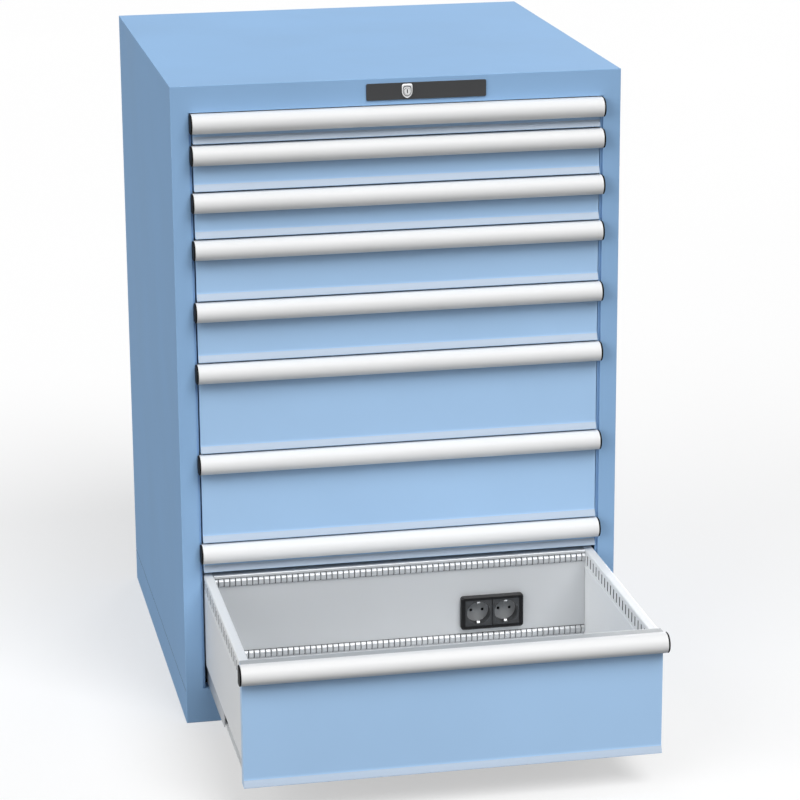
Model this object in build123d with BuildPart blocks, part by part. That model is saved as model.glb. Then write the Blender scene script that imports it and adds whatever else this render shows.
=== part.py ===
from build123d import *
import os

# A floor-standing drawer cabinet of folded sheet steel. Nine drawers run on telescopic
# roller runners in a welded housing, and one lock on the header holds them all. The lowest
# drawer is pulled out and holds a socket panel across its tray.
# Millimetres, X to the right, Y to the back, Z up. The origin lies on the floor at the
# centre of the housing's footprint.

os.makedirs("parts", exist_ok=True)

# Housing
cabinet_width = 717
cabinet_depth = 725
header_height = 42
base_height = 56
sill_rise = 2
post_width = 28
jamb_depth = 28
lip_setback = 4
housing_sheet = 1.5
housing_edge = 1.0
return_flange = 20
foot_flange = 25
cut_overrun = 2

# Drawer fronts, from the top one down, each with the gaps above and below it
shallow_front = 50
low_front = 75
middle_front = 100
tall_front = 150
deep_front = 200
front_heights = [
    shallow_front, low_front, low_front, middle_front, middle_front,
    tall_front, tall_front, shallow_front, deep_front,
]
front_gap = 1.5
front_side_gap = 6
front_depth = 16
front_sheet = 1.2
kick_height = 12
kick_reach = 6

# Handle bars
bar_height = 31
bar_reach = 22.5
bar_wall = 2.5
bar_web = 21
bar_overlap = 2.5
bar_lip_angle = 65
bar_cover = 1.5
cap_thickness = 3

# Trays
tray_length = 640
tray_sheet = 1.2
tray_lift = 8
rim_drop = 5
rim_inset = 0.5
rear_hem = 12
skin_play = 1.5
slot_pitch = 18
slot_width = 3
slot_height = 16
slot_drop = 7

# Runners: a rail on the tray, a carriage with rollers, and a track on the uprights
open_distance = 410
rail_sheet = 1.5
rail_width = 9.5
rail_raise = 2
roller_radius = 10.5
roller_play = 0.3
rail_play = 1
roller_sides = 8
roller_inset = 22
runner_play = 0.3
carriage_sheet = 2
carriage_length = 560
carriage_setback = 4
carriage_skirt = 3
cover_gap = 1
rim_play = 0.8
track_play = 1.5
track_width = 11.5
track_front_gap = 3
track_back_gap = 20
lip_play = 2.5

# Uprights
upright_width = 40
upright_setback = 65

# Lock
lock_panel_width = 191
lock_panel_height = 26.5
lock_panel_thickness = 2.5
lock_panel_x = 44
lock_x = 13
escutcheon_width = 17
escutcheon_height = 23
escutcheon_thickness = 2
escutcheon_corner = 2
shoulder_share = 0.45
belly_shares = (0.38, 0.80)
plug_radius = 5
plug_play = 0.2
plug_proud = 1
plug_depth = 24
key_slot_width = 1.6
key_slot_height = 6
key_slot_depth = 5
cam_size = 14
cam_thickness = 3
cam_pin_radius = 1.5
cam_throw = 3.5
cam_pin_play = 0.4
lock_bar_thickness = 3
lock_bar_width = 12
lock_bar_play = 2
lock_bar_foot = 20

# Socket panel in the lowest drawer
compartment_depth = 390
panel_play = 0.4
strip_height = 14
strip_sheet = 1
strip_drop = 5
lower_strip_drop = 131
strip_reach = 4
strip_bevel = 4
ring_pitch = 9.3
ring_slit = 1.2
socket_x = 150
socket_drop = 94
socket_width = 105
socket_height = 57
socket_corner = 5
bezel_depth = 9
bezel_edge = 2
insert_size = 45
insert_pitch = 46
insert_sink = 1
insert_play = 0.2
recess_radius = 19.5
recess_depth = 17
insert_floor = 8
pin_radius = 2.5
pin_pitch = 19
pin_depth = 6
box_wall = 3
box_play = 0.5

# Places that follow from the sizes above
opening_height = sum(front_heights)
sill_height = base_height + sill_rise
bay_bottoms = [sill_height + sum(front_heights[place:]) for place in range(1, len(front_heights) + 1)]
cabinet_height = sill_height + opening_height + header_height
header_mid = cabinet_height - header_height / 2
opening_mid = sill_height + opening_height / 2
front_y = -cabinet_depth / 2
back_y = cabinet_depth / 2
side_inner = cabinet_width / 2 - housing_sheet
opening_half = cabinet_width / 2 - post_width
front_half = opening_half - front_side_gap
rim_half = front_half - rim_inset
rim_width = tray_sheet + rail_width + runner_play + carriage_sheet + rim_play + tray_sheet
tray_half = rim_half - rim_width
wall_half = tray_half + tray_sheet
rail_tip = wall_half + rail_width
carriage_half = rail_tip + runner_play + carriage_sheet
track_tip = rim_half + track_play
track_half = track_tip + track_width
rail_half_height = roller_radius + roller_play + rail_sheet
roller_lift = tray_lift + rail_raise + rail_half_height
cover_lift = roller_lift + rail_half_height + cover_gap + carriage_sheet
track_front = front_y + jamb_depth + track_front_gap
bar_half = front_half + bar_overlap
bar_radius = bar_height / 2
front_plane = Plane.XZ.offset(-front_y)


def sheet_section(points, sheet, side=Side.RIGHT):
    """Edges of a folded sheet's section, with its thickness on one side of the points' way."""
    with BuildLine() as section:
        Polyline(*points)
        offset(amount=sheet, side=side, kind=Kind.INTERSECTION)
    return section.line.edges()


def save(piece, name):
    """Labels a finished piece and writes its file."""
    piece.label = name
    export_step(piece, f"parts/{name}.step")


# Front frame: posts, header and sill in one skin, with jambs round the opening and a lip down
# each side that closes the gap beside the fronts
side_lip = opening_half - rim_half - lip_play
with BuildPart() as front_frame:
    with BuildSketch(front_plane):
        with Locations((0, cabinet_height / 2)):
            Rectangle(cabinet_width, cabinet_height)
        with Locations((0, opening_mid)):
            Rectangle(2 * opening_half, opening_height, mode=Mode.SUBTRACT)
        with Locations((lock_x, header_mid)):
            Circle(plug_radius + plug_play, mode=Mode.SUBTRACT)
    extrude(amount=-housing_sheet)
    skin_edges = front_frame.faces().sort_by(Axis.Y)[0].outer_wire().edges()
    fillet(skin_edges, housing_edge)
    with BuildSketch(front_plane):
        with Locations((0, opening_mid)):
            Rectangle(2 * (opening_half + housing_sheet), opening_height + 2 * housing_sheet)
            Rectangle(2 * opening_half, opening_height, mode=Mode.SUBTRACT)
    extrude(amount=-jamb_depth)
    with BuildSketch(front_plane.offset(-lip_setback)):
        with Locations((0, opening_mid)):
            Rectangle(2 * opening_half, opening_height)
            Rectangle(2 * (opening_half - side_lip), opening_height, mode=Mode.SUBTRACT)
    extrude(amount=-housing_sheet)
save(front_frame.part, "front_frame")

# Base: an inverted pan whose top is the cabinet's floor, with feet flanges turned in
base_front = front_y + housing_sheet
base_mid = (base_front + back_y) / 2
base_depth = back_y - base_front
with BuildPart() as base:
    with BuildSketch():
        with Locations((0, base_mid)):
            Rectangle(cabinet_width, base_depth)
    extrude(amount=base_height)
    with BuildSketch(Plane.XY.offset(housing_sheet)):
        with Locations((0, base_mid)):
            Rectangle(cabinet_width - 2 * housing_sheet, base_depth - 2 * housing_sheet)
    extrude(amount=base_height - 2 * housing_sheet, mode=Mode.SUBTRACT)
    with BuildSketch():
        with Locations((0, base_mid)):
            Rectangle(cabinet_width - 2 * foot_flange, base_depth - 2 * foot_flange)
    extrude(amount=housing_sheet, mode=Mode.SUBTRACT)
    deck_edges = base.faces().sort_by(Axis.Z)[-1].outer_wire().edges()
    fillet(deck_edges.sort_by(Axis.Y)[1:], housing_edge)
save(base.part, "base")

# Side panels: a wall with a return flange at the back that the back panel is welded to
wall_height = cabinet_height - base_height - housing_sheet
for hand, side_name in ((-1, "left_side_panel"), (1, "right_side_panel")):
    with BuildPart() as side_panel:
        with BuildSketch(Plane.XY.offset(base_height)):
            with Locations((hand * (side_inner + housing_sheet / 2), base_mid)):
                Rectangle(housing_sheet, base_depth)
            with Locations((hand * (side_inner - return_flange / 2), back_y - 1.5 * housing_sheet)):
                Rectangle(return_flange, housing_sheet)
        extrude(amount=wall_height)
    save(side_panel.part, side_name)

# Back panel between the side walls, behind their return flanges
with BuildPart() as back_panel:
    with BuildSketch(Plane.XY.offset(base_height)):
        with Locations((0, back_y - housing_sheet / 2)):
            Rectangle(2 * side_inner, housing_sheet)
    extrude(amount=wall_height)
save(back_panel.part, "back_panel")

# Top panel over the walls, with returns that grip the side walls from inside
with BuildPart() as top_panel:
    with BuildSketch(Plane.XY.offset(cabinet_height - housing_sheet)):
        with Locations((0, base_mid)):
            Rectangle(cabinet_width, base_depth)
    extrude(amount=housing_sheet)
    with BuildSketch(Plane.XY.offset(cabinet_height - housing_sheet)):
        with Locations((side_inner - housing_sheet / 2, 0)):
            Rectangle(housing_sheet, cabinet_depth - 2 * upright_setback)
    extrude(amount=-return_flange)
    mirror(about=Plane.YZ)
    top_edges = top_panel.faces().sort_by(Axis.Z)[-1].outer_wire().edges()
    fillet(top_edges.sort_by(Axis.Y)[1:], housing_edge)
save(top_panel.part, "top_panel")

# Uprights: channels on the side walls that carry the tracks
upright_height = wall_height - return_flange
upright_places = (front_y + upright_setback, back_y - upright_setback)
with BuildPart() as uprights:
    with BuildSketch(Plane.XY.offset(base_height)):
        with Locations([(0, y) for y in upright_places]):
            with Locations(((track_half + side_inner) / 2, 0)):
                Rectangle(side_inner - track_half, upright_width)
            with Locations(((track_half + housing_sheet + side_inner) / 2, 0)):
                Rectangle(
                    side_inner - track_half - housing_sheet,
                    upright_width - 2 * housing_sheet,
                    mode=Mode.SUBTRACT,
                )
    extrude(amount=upright_height)
    mirror(about=Plane.YZ)
save(uprights.part, "uprights")


def runner_channel(web, tip, z_mid):
    """Section of a roller channel with its back at web and its two flanges ending at tip."""
    low = z_mid - rail_half_height
    high = z_mid + rail_half_height
    side = Side.RIGHT if tip > web else Side.LEFT
    return sheet_section([(tip, low), (web, low), (web, high), (tip, high)], rail_sheet, side)


def tray_walls(bay_bottom, bay_height, pulled, slotted):
    """Both side walls of a tray, folded over into an outer skin, with the welded runner rail."""
    rim_top = bay_bottom + bay_height - front_gap - rim_drop
    wall_front = front_y - pulled + front_depth + tray_sheet
    wall_length = tray_length - tray_sheet
    with BuildPart() as walls:
        with BuildSketch(Plane.XZ.offset(-wall_front)):
            wall_line = [
                (tray_half, bay_bottom + tray_lift),
                (tray_half, rim_top),
                (rim_half, rim_top),
                (rim_half, bay_bottom + cover_lift + skin_play),
            ]
            make_face(sheet_section(wall_line, tray_sheet))
            make_face(runner_channel(wall_half, rail_tip, bay_bottom + roller_lift))
        extrude(amount=-wall_length)
        if slotted:
            slot_count = int(compartment_depth // slot_pitch)
            slot_mid = rim_top - slot_drop - slot_height / 2
            with BuildSketch(Plane.YZ.offset(tray_half)):
                with Locations((wall_front + compartment_depth / 2, slot_mid)):
                    with GridLocations(slot_pitch, slot_pitch, slot_count, 1):
                        Rectangle(slot_width, slot_height)
            extrude(amount=rim_width, mode=Mode.SUBTRACT)
        mirror(about=Plane.YZ)
    return walls.part


def tray_floor(bay_bottom, pulled):
    """The tray's floor sheet between its four walls."""
    floor_front = front_y - pulled + front_depth + tray_sheet
    floor_length = tray_length - 2 * tray_sheet
    with BuildPart() as floor:
        with BuildSketch(Plane.XY.offset(bay_bottom + tray_lift)):
            with Locations((0, floor_front + floor_length / 2)):
                Rectangle(2 * tray_half, floor_length)
        extrude(amount=tray_sheet)
    return floor.part


def tray_ends(bay_bottom, bay_height, pulled):
    """The wall that backs the drawer's front, and the rear wall with its hem."""
    front_bottom = bay_bottom + front_gap
    front_top = bay_bottom + bay_height - front_gap
    tray_front = front_y - pulled + front_depth
    rear_face = tray_front + tray_length - tray_sheet
    rim_top = front_top - rim_drop
    with BuildPart() as ends:
        with BuildSketch(Plane.XZ.offset(-tray_front)):
            with Locations((0, (front_bottom + front_top) / 2)):
                Rectangle(2 * front_half, front_top - front_bottom)
        extrude(amount=-tray_sheet)
        with BuildSketch(Plane.YZ):
            rear_line = [
                (rear_face, bay_bottom + tray_lift),
                (rear_face, rim_top),
                (rear_face + rear_hem, rim_top),
            ]
            make_face(sheet_section(rear_line, tray_sheet))
        extrude(amount=tray_half, both=True)
    return ends.part


def drawer_front(bay_bottom, bay_height, pulled):
    """A folded front pan under the bar's flange, whose lower edge kicks out a little."""
    face = front_y - pulled
    bottom = bay_bottom + front_gap
    top = bay_bottom + bay_height - front_gap - bar_cover
    outline = [
        (face + front_depth, bottom),
        (face - kick_reach, bottom),
        (face, bottom + kick_height),
        (face, top),
        (face + front_depth, top),
    ]
    with BuildPart() as front:
        with BuildSketch(Plane.YZ):
            make_face(sheet_section(outline, front_sheet))
        extrude(amount=front_half, both=True)
        with BuildSketch(Plane.YZ.offset(front_half - front_sheet)):
            with BuildLine():
                Polyline(*outline, close=True)
            make_face()
        extrude(amount=front_sheet)
        mirror(about=Plane.YZ)
    return front.part


def bar_outline(face, top):
    """The bar's outer line, from the foot of its web over the crown to the grip's lip."""
    crown_y = face - bar_reach + bar_radius
    crown_z = top - bar_radius
    with BuildLine() as outline:
        Polyline((face, top - bar_web), (face, top), (crown_y, top))
        CenterArc((crown_y, crown_z), bar_radius, 90, 90 + bar_lip_angle)
    return outline.line


def handle_bar(bay_bottom, bay_height, pulled):
    """A bar along the top of a front, open below for the fingers, with a flange over the front."""
    top = bay_bottom + bay_height - front_gap
    face = front_y - pulled
    with BuildPart() as bar:
        with BuildSketch(Plane.YZ):
            with BuildLine():
                add(bar_outline(face, top))
                offset(amount=bar_wall, side=Side.LEFT, kind=Kind.INTERSECTION)
            make_face()
        extrude(amount=bar_half, both=True)
        with BuildSketch(Plane.YZ):
            with Locations((face + front_depth / 2, top - bar_cover / 2)):
                Rectangle(front_depth, bar_cover)
        extrude(amount=front_half, both=True)
    return bar.part


def bar_caps(bay_bottom, bay_height, pulled):
    """Plastic caps over both ends of a bar."""
    top = bay_bottom + bay_height - front_gap
    face = front_y - pulled
    with BuildPart() as caps:
        with BuildSketch(Plane.YZ.offset(bar_half)):
            with BuildLine() as cap_line:
                add(bar_outline(face, top))
                Line(cap_line.line @ 1, (face, (cap_line.line @ 1).Y))
                Line((face, (cap_line.line @ 1).Y), cap_line.line @ 0)
            make_face()
        extrude(amount=cap_thickness)
        mirror(about=Plane.YZ)
    return caps.part


def carriage_channels(bay_bottom, pulled):
    """The pair of angle profiles that carry the rollers between rail and track."""
    carriage_front = front_y + front_depth + carriage_setback - pulled / 2
    cover_top = bay_bottom + cover_lift
    foot = bay_bottom + roller_lift - rail_half_height - carriage_skirt
    with BuildPart() as channels:
        with BuildSketch(Plane.XZ.offset(-carriage_front)):
            angle_line = [
                (wall_half + carriage_sheet, cover_top),
                (carriage_half, cover_top),
                (carriage_half, foot),
            ]
            make_face(sheet_section(angle_line, carriage_sheet))
        extrude(amount=-carriage_length)
        mirror(about=Plane.YZ)
    return channels.part


def carriage_rollers(bay_bottom, pulled):
    """On each side, one roller in the tray's rail and one in the track, riveted to the carriage."""
    carriage_front = front_y + front_depth + carriage_setback - pulled / 2
    carriage_back = carriage_front + carriage_length
    z_axis = bay_bottom + roller_lift
    with BuildPart() as rollers:
        with BuildSketch(Plane.YZ.offset(carriage_half - carriage_sheet)):
            with Locations((carriage_front + roller_inset, z_axis)):
                RegularPolygon(roller_radius, roller_sides)
        extrude(amount=rail_sheet + wall_half + rail_play - carriage_half + carriage_sheet)
        with BuildSketch(Plane.YZ.offset(carriage_half)):
            with Locations((carriage_back - roller_inset, z_axis)):
                RegularPolygon(roller_radius, roller_sides)
        extrude(amount=track_half - rail_sheet - track_play - carriage_half)
        mirror(about=Plane.YZ)
    return rollers.part


# Drawers, numbered from the top, each with its front, bar, caps, tray and carriages
for number, (bay_bottom, bay_height) in enumerate(zip(bay_bottoms, front_heights), start=1):
    lowest = number == len(front_heights)
    pulled = open_distance if lowest else 0
    save(drawer_front(bay_bottom, bay_height, pulled), f"drawer_{number}_front")
    save(handle_bar(bay_bottom, bay_height, pulled), f"drawer_{number}_handle_bar")
    save(bar_caps(bay_bottom, bay_height, pulled), f"drawer_{number}_end_caps")
    tray = Compound(
        children=[
            tray_walls(bay_bottom, bay_height, pulled, lowest),
            tray_floor(bay_bottom, pulled),
            tray_ends(bay_bottom, bay_height, pulled),
        ]
    )
    save(tray, f"drawer_{number}_tray")
    carriage = Compound(
        children=[carriage_channels(bay_bottom, pulled), carriage_rollers(bay_bottom, pulled)]
    )
    save(carriage, f"drawer_{number}_carriage")

# Tracks: one channel on each side for every drawer, fixed to the uprights
with BuildPart() as tracks:
    with BuildSketch(Plane.XZ.offset(-track_front)):
        for bay_bottom in bay_bottoms:
            make_face(runner_channel(track_half, track_tip, bay_bottom + roller_lift))
    extrude(amount=track_front - back_y + track_back_gap)
    mirror(about=Plane.YZ)
save(tracks.part, "drawer_tracks")

# Lock panel on the header
with BuildPart() as lock_panel:
    with BuildSketch(front_plane):
        with Locations((lock_panel_x, header_mid)):
            Rectangle(lock_panel_width, lock_panel_height)
        with Locations((lock_x, header_mid)):
            Circle(plug_radius + plug_play, mode=Mode.SUBTRACT)
    extrude(amount=lock_panel_thickness)
save(lock_panel.part, "lock_panel")

# Shield-shaped escutcheon round the lock
shield_half = escutcheon_width / 2
shield_top = header_mid + escutcheon_height / 2
shield_shoulder = shield_top - escutcheon_height * shoulder_share
belly_x = escutcheon_width * belly_shares[0]
belly_z = shield_top - escutcheon_height * belly_shares[1]
with BuildPart() as escutcheon:
    with BuildSketch(front_plane.offset(lock_panel_thickness)) as shield:
        with BuildLine():
            Polyline(
                (lock_x - shield_half, shield_shoulder),
                (lock_x - shield_half, shield_top),
                (lock_x + shield_half, shield_top),
                (lock_x + shield_half, shield_shoulder),
            )
            for hand in (1, -1):
                ThreePointArc(
                    (lock_x + hand * shield_half, shield_shoulder),
                    (lock_x + hand * belly_x, belly_z),
                    (lock_x, shield_top - escutcheon_height),
                )
        make_face()
        fillet(shield.vertices().group_by(Axis.Z)[-1], escutcheon_corner)
        with Locations((lock_x, header_mid)):
            Circle(plug_radius + plug_play, mode=Mode.SUBTRACT)
    extrude(amount=escutcheon_thickness)
save(escutcheon.part, "lock_escutcheon")

# Lock cylinder: a plug with its key slot, and behind it the square cam with its eccentric pin
plug_front = lock_panel_thickness + escutcheon_thickness + plug_proud
pin_offset = cam_throw / 2**0.5
with BuildPart() as lock_cylinder:
    with BuildSketch(front_plane.offset(-plug_depth)):
        with Locations((lock_x, header_mid)):
            Circle(plug_radius)
    extrude(amount=plug_depth + plug_front)
    with BuildSketch(front_plane.offset(plug_front - key_slot_depth)):
        with Locations((lock_x, header_mid)):
            Rectangle(key_slot_width, key_slot_height)
    extrude(amount=key_slot_depth, mode=Mode.SUBTRACT)
    with BuildSketch(front_plane.offset(-plug_depth)):
        with Locations((lock_x, header_mid)):
            Rectangle(cam_size, cam_size)
    extrude(amount=-cam_thickness)
    with BuildSketch(front_plane.offset(-plug_depth - cam_thickness)):
        with Locations((lock_x - pin_offset, header_mid + pin_offset)):
            Circle(cam_pin_radius)
    extrude(amount=-lock_bar_thickness - cut_overrun)
save(lock_cylinder.part, "lock_cylinder")

# Lock bar: a flat angle that the cam's pin shifts sideways behind the right post
leg_inner = track_half + lock_bar_play
arm_left = lock_x - pin_offset - lock_bar_width
arm_top = header_mid + pin_offset + lock_bar_width / 2
bar_plane = front_plane.offset(-plug_depth - cam_thickness - cam_pin_play)
with BuildPart() as lock_bar:
    with BuildSketch(bar_plane):
        with BuildLine():
            Polyline(
                (arm_left, arm_top),
                (leg_inner + lock_bar_width, arm_top),
                (leg_inner + lock_bar_width, base_height + lock_bar_foot),
            )
            offset(amount=lock_bar_width, side=Side.RIGHT, kind=Kind.INTERSECTION)
        make_face()
        with Locations((lock_x - pin_offset, header_mid + pin_offset)):
            SlotCenterToCenter(
                2 * (cam_throw - pin_offset) + cam_pin_play,
                2 * (cam_pin_radius + cam_pin_play),
                rotation=90,
                mode=Mode.SUBTRACT,
            )
    extrude(amount=-lock_bar_thickness)
save(lock_bar.part, "lock_bar")

# Socket panel: a partition across the lowest tray, folded back as a cover over the wiring space
low_bottom = bay_bottoms[-1]
low_rim = low_bottom + deep_front - front_gap - rim_drop
low_floor = low_bottom + tray_lift + tray_sheet
tray_front = front_y - open_distance + front_depth
panel_face = tray_front + tray_sheet + compartment_depth
cover_back = tray_front + tray_length - tray_sheet
panel_half = tray_half - panel_play
socket_mid = low_rim - socket_drop
box_width = socket_width - 2 * box_wall
box_height = socket_height - 2 * box_wall
panel_plane = Plane.XZ.offset(-panel_face)
with BuildPart() as partition:
    with BuildSketch(Plane.YZ):
        panel_line = [(panel_face, low_floor), (panel_face, low_rim), (cover_back, low_rim)]
        make_face(sheet_section(panel_line, tray_sheet))
    extrude(amount=panel_half, both=True)
    with BuildSketch(panel_plane):
        with Locations((socket_x, socket_mid)):
            Rectangle(box_width + 2 * box_play, box_height + 2 * box_play)
    extrude(amount=-tray_sheet, mode=Mode.SUBTRACT)


def ringed_strip(strip_top):
    """A bevelled strip across the panel, slit into rings down to its thin back."""
    slit_count = int(2 * panel_half // ring_pitch)
    back_line = panel_face - strip_sheet
    crest_line = back_line - strip_reach
    with BuildPart() as strip:
        with BuildSketch(Plane.YZ):
            with BuildLine():
                Polyline(
                    (panel_face, strip_top),
                    (back_line, strip_top),
                    (crest_line, strip_top - strip_bevel),
                    (crest_line, strip_top - strip_height + strip_bevel),
                    (back_line, strip_top - strip_height),
                    (panel_face, strip_top - strip_height),
                    close=True,
                )
            make_face()
        extrude(amount=panel_half, both=True)
        with BuildSketch(panel_plane.offset(strip_sheet)):
            with Locations((0, strip_top - strip_height / 2)):
                with GridLocations(ring_pitch, ring_pitch, slit_count, 1):
                    Rectangle(ring_slit, strip_height)
        extrude(amount=strip_reach, mode=Mode.SUBTRACT)
    return strip.part


socket_panel = Compound(
    children=[
        partition.part,
        ringed_strip(low_rim - strip_drop),
        ringed_strip(low_rim - lower_strip_drop),
    ]
)
save(socket_panel, "socket_panel")

# Socket housing: a bezel on the panel and a box behind it, with a window for each insert
insert_depth = recess_depth + insert_floor
insert_front = bezel_depth - insert_sink
with BuildPart() as socket_housing:
    with BuildSketch(panel_plane):
        with Locations((socket_x, socket_mid)):
            RectangleRounded(socket_width, socket_height, socket_corner)
    extrude(amount=bezel_depth)
    chamfer(socket_housing.faces().sort_by(Axis.Y)[0].outer_wire().edges(), bezel_edge)
    with BuildSketch(panel_plane):
        with Locations((socket_x, socket_mid)):
            Rectangle(box_width, box_height)
    extrude(amount=insert_front - insert_depth - box_wall)
    with BuildSketch(panel_plane.offset(bezel_depth)):
        with Locations((socket_x, socket_mid)):
            with GridLocations(insert_pitch, insert_pitch, 2, 1):
                Rectangle(insert_size + 2 * insert_play, insert_size + 2 * insert_play)
    extrude(amount=-insert_sink - insert_depth, mode=Mode.SUBTRACT)
save(socket_housing.part, "socket_housing")

# Socket inserts: round recesses with two pin holes each
with BuildPart() as socket_inserts:
    with BuildSketch(panel_plane.offset(insert_front)):
        with Locations((socket_x, socket_mid)):
            with GridLocations(insert_pitch, insert_pitch, 2, 1):
                Rectangle(insert_size, insert_size)
    extrude(amount=-insert_depth)
    with BuildSketch(panel_plane.offset(insert_front)):
        with Locations((socket_x, socket_mid)):
            with GridLocations(insert_pitch, insert_pitch, 2, 1):
                Circle(recess_radius)
    extrude(amount=-recess_depth, mode=Mode.SUBTRACT)
    with BuildSketch(panel_plane.offset(insert_front - recess_depth)):
        with Locations((socket_x, socket_mid)):
            with GridLocations(insert_pitch, insert_pitch, 2, 1):
                with GridLocations(pin_pitch, pin_pitch, 2, 1):
                    Circle(pin_radius)
    extrude(amount=-pin_depth, mode=Mode.SUBTRACT)
save(socket_inserts.part, "socket_inserts")
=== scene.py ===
import bpy
import numpy as np
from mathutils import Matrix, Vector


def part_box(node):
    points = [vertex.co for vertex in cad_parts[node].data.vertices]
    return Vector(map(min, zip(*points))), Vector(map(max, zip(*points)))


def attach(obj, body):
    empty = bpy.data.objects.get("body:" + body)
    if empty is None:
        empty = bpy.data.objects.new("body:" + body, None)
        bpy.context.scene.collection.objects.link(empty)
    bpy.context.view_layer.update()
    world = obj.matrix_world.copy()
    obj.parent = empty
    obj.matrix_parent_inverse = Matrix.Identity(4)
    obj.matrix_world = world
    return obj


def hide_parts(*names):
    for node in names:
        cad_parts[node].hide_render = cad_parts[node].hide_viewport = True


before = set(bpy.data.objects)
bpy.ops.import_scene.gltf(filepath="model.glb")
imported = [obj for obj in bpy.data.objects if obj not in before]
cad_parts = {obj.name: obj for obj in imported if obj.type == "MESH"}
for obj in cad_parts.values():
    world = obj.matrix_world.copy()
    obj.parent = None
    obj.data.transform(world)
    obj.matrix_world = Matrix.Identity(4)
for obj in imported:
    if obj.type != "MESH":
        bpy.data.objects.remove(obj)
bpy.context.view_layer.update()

# Housing: the welded shell, that is the front frame, the base, the two side walls, the back and
# the top. It is folded from sheet steel, spot-welded and then powder-coated light blue in one go.
coat_blue = (0.290, 0.480, 0.742)
joint_shadow = (0.045, 0.080, 0.130)
joint_depth = 0.0012
coat_roughness = 0.70
coat_specular = 0.06
cloud_detail = 5.0
cloud_span = (0.3, 0.7)
gloss_span = (0.85, 1.15)
grain_detail = 2.0


def mottled_finish(name, colour, roughness, metallic=0.0, specular=0.5, shade=0.035, cloud_scale=4.0,
                   grain_scale=900.0, grain_depth=0.00003, stretch=(1.0, 1.0, 1.0)):
    """A finish on the piece's own coordinates. A broad noise moves the colour and the roughness
    a few percent up and down, and a fine noise raises the grain of the surface."""
    finish = bpy.data.materials.new(name)
    finish.use_nodes = True
    nodes, links = finish.node_tree.nodes, finish.node_tree.links
    shader = nodes["Principled BSDF"]
    shader.inputs["Metallic"].default_value = metallic
    shader.inputs["Specular IOR Level"].default_value = specular
    place = nodes.new("ShaderNodeTexCoord")
    drawn = nodes.new("ShaderNodeMapping")
    drawn.inputs["Scale"].default_value = stretch
    links.new(place.outputs["Object"], drawn.inputs["Vector"])
    cloud = nodes.new("ShaderNodeTexNoise")
    cloud.inputs["Scale"].default_value = cloud_scale
    cloud.inputs["Detail"].default_value = cloud_detail
    links.new(drawn.outputs["Vector"], cloud.inputs["Vector"])
    tint = nodes.new("ShaderNodeValToRGB")
    tint.name = "tint"
    for element, share, position in zip(tint.color_ramp.elements, (1 - shade, 1 + shade), cloud_span):
        element.position = position
        element.color = (*(channel * share for channel in colour), 1.0)
    links.new(cloud.outputs["Fac"], tint.inputs["Fac"])
    links.new(tint.outputs["Color"], shader.inputs["Base Color"])
    gloss = nodes.new("ShaderNodeMapRange")
    gloss.inputs["To Min"].default_value = gloss_span[0] * roughness
    gloss.inputs["To Max"].default_value = gloss_span[1] * roughness
    links.new(cloud.outputs["Fac"], gloss.inputs["Value"])
    links.new(gloss.outputs["Result"], shader.inputs["Roughness"])
    grain = nodes.new("ShaderNodeTexNoise")
    grain.inputs["Scale"].default_value = grain_scale
    grain.inputs["Detail"].default_value = grain_detail
    links.new(drawn.outputs["Vector"], grain.inputs["Vector"])
    relief = nodes.new("ShaderNodeBump")
    relief.inputs["Distance"].default_value = grain_depth
    links.new(grain.outputs["Fac"], relief.inputs["Height"])
    links.new(relief.outputs["Normal"], shader.inputs["Normal"])
    return finish


def refinish(finish, *names):
    """Gives the named CAD nodes the finish in place of the plain one that they came with."""
    for name in names:
        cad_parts[name].data.materials.clear()
        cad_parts[name].data.materials.append(finish)


def tone_beyond(finish, axis, level, tone):
    """Beyond a level along one axis the finish takes another tone than its own. Mostly this is painted
    shade, darker in joints, grooves, slits and holes where shade falls; the socket cups' floor takes a
    lighter grey."""
    tree = finish.node_tree
    colour = tree.nodes["Principled BSDF"].inputs["Base Color"]
    place = tree.nodes.new("ShaderNodeTexCoord")
    split = tree.nodes.new("ShaderNodeSeparateXYZ")
    tree.links.new(place.outputs["Object"], split.inputs["Vector"])
    beyond = tree.nodes.new("ShaderNodeMath")
    beyond.operation = "GREATER_THAN"
    beyond.inputs[1].default_value = level
    tree.links.new(split.outputs[axis], beyond.inputs[0])
    blend = tree.nodes.new("ShaderNodeMix")
    blend.data_type = "RGBA"
    blend.inputs["B"].default_value = (*tone, 1.0)
    tree.links.new(colour.links[0].from_socket, blend.inputs["A"])
    tree.links.new(beyond.outputs["Value"], blend.inputs["Factor"])
    tree.links.new(blend.outputs["Result"], colour)


powder_coat = mottled_finish("powder_coat_blue", coat_blue, coat_roughness, specular=coat_specular)
base_coat = mottled_finish("base_coat_blue", coat_blue, coat_roughness, specular=coat_specular)
tone_beyond(base_coat, "Z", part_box("base")[1].z - joint_depth, joint_shadow)
refinish(powder_coat, "front_frame", "left_side_panel", "right_side_panel", "back_panel", "top_panel")
refinish(base_coat, "base")

# Uprights, tracks and lock bar: rolled steel channels inside the housing, bright zinc-plated.
# The uprights are welded to the side walls, the tracks are hooked on them, and the lock bar slides.
zinc_grey = (0.440, 0.452, 0.465)
zinc = mottled_finish("zinc_plate", zinc_grey, roughness=0.40, metallic=0.85, shade=0.08, cloud_scale=22.0,
                      grain_scale=420.0, grain_depth=0.00002, stretch=(1.0, 0.12, 1.0))
refinish(zinc, "uprights", "drawer_tracks", "lock_bar")

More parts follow.
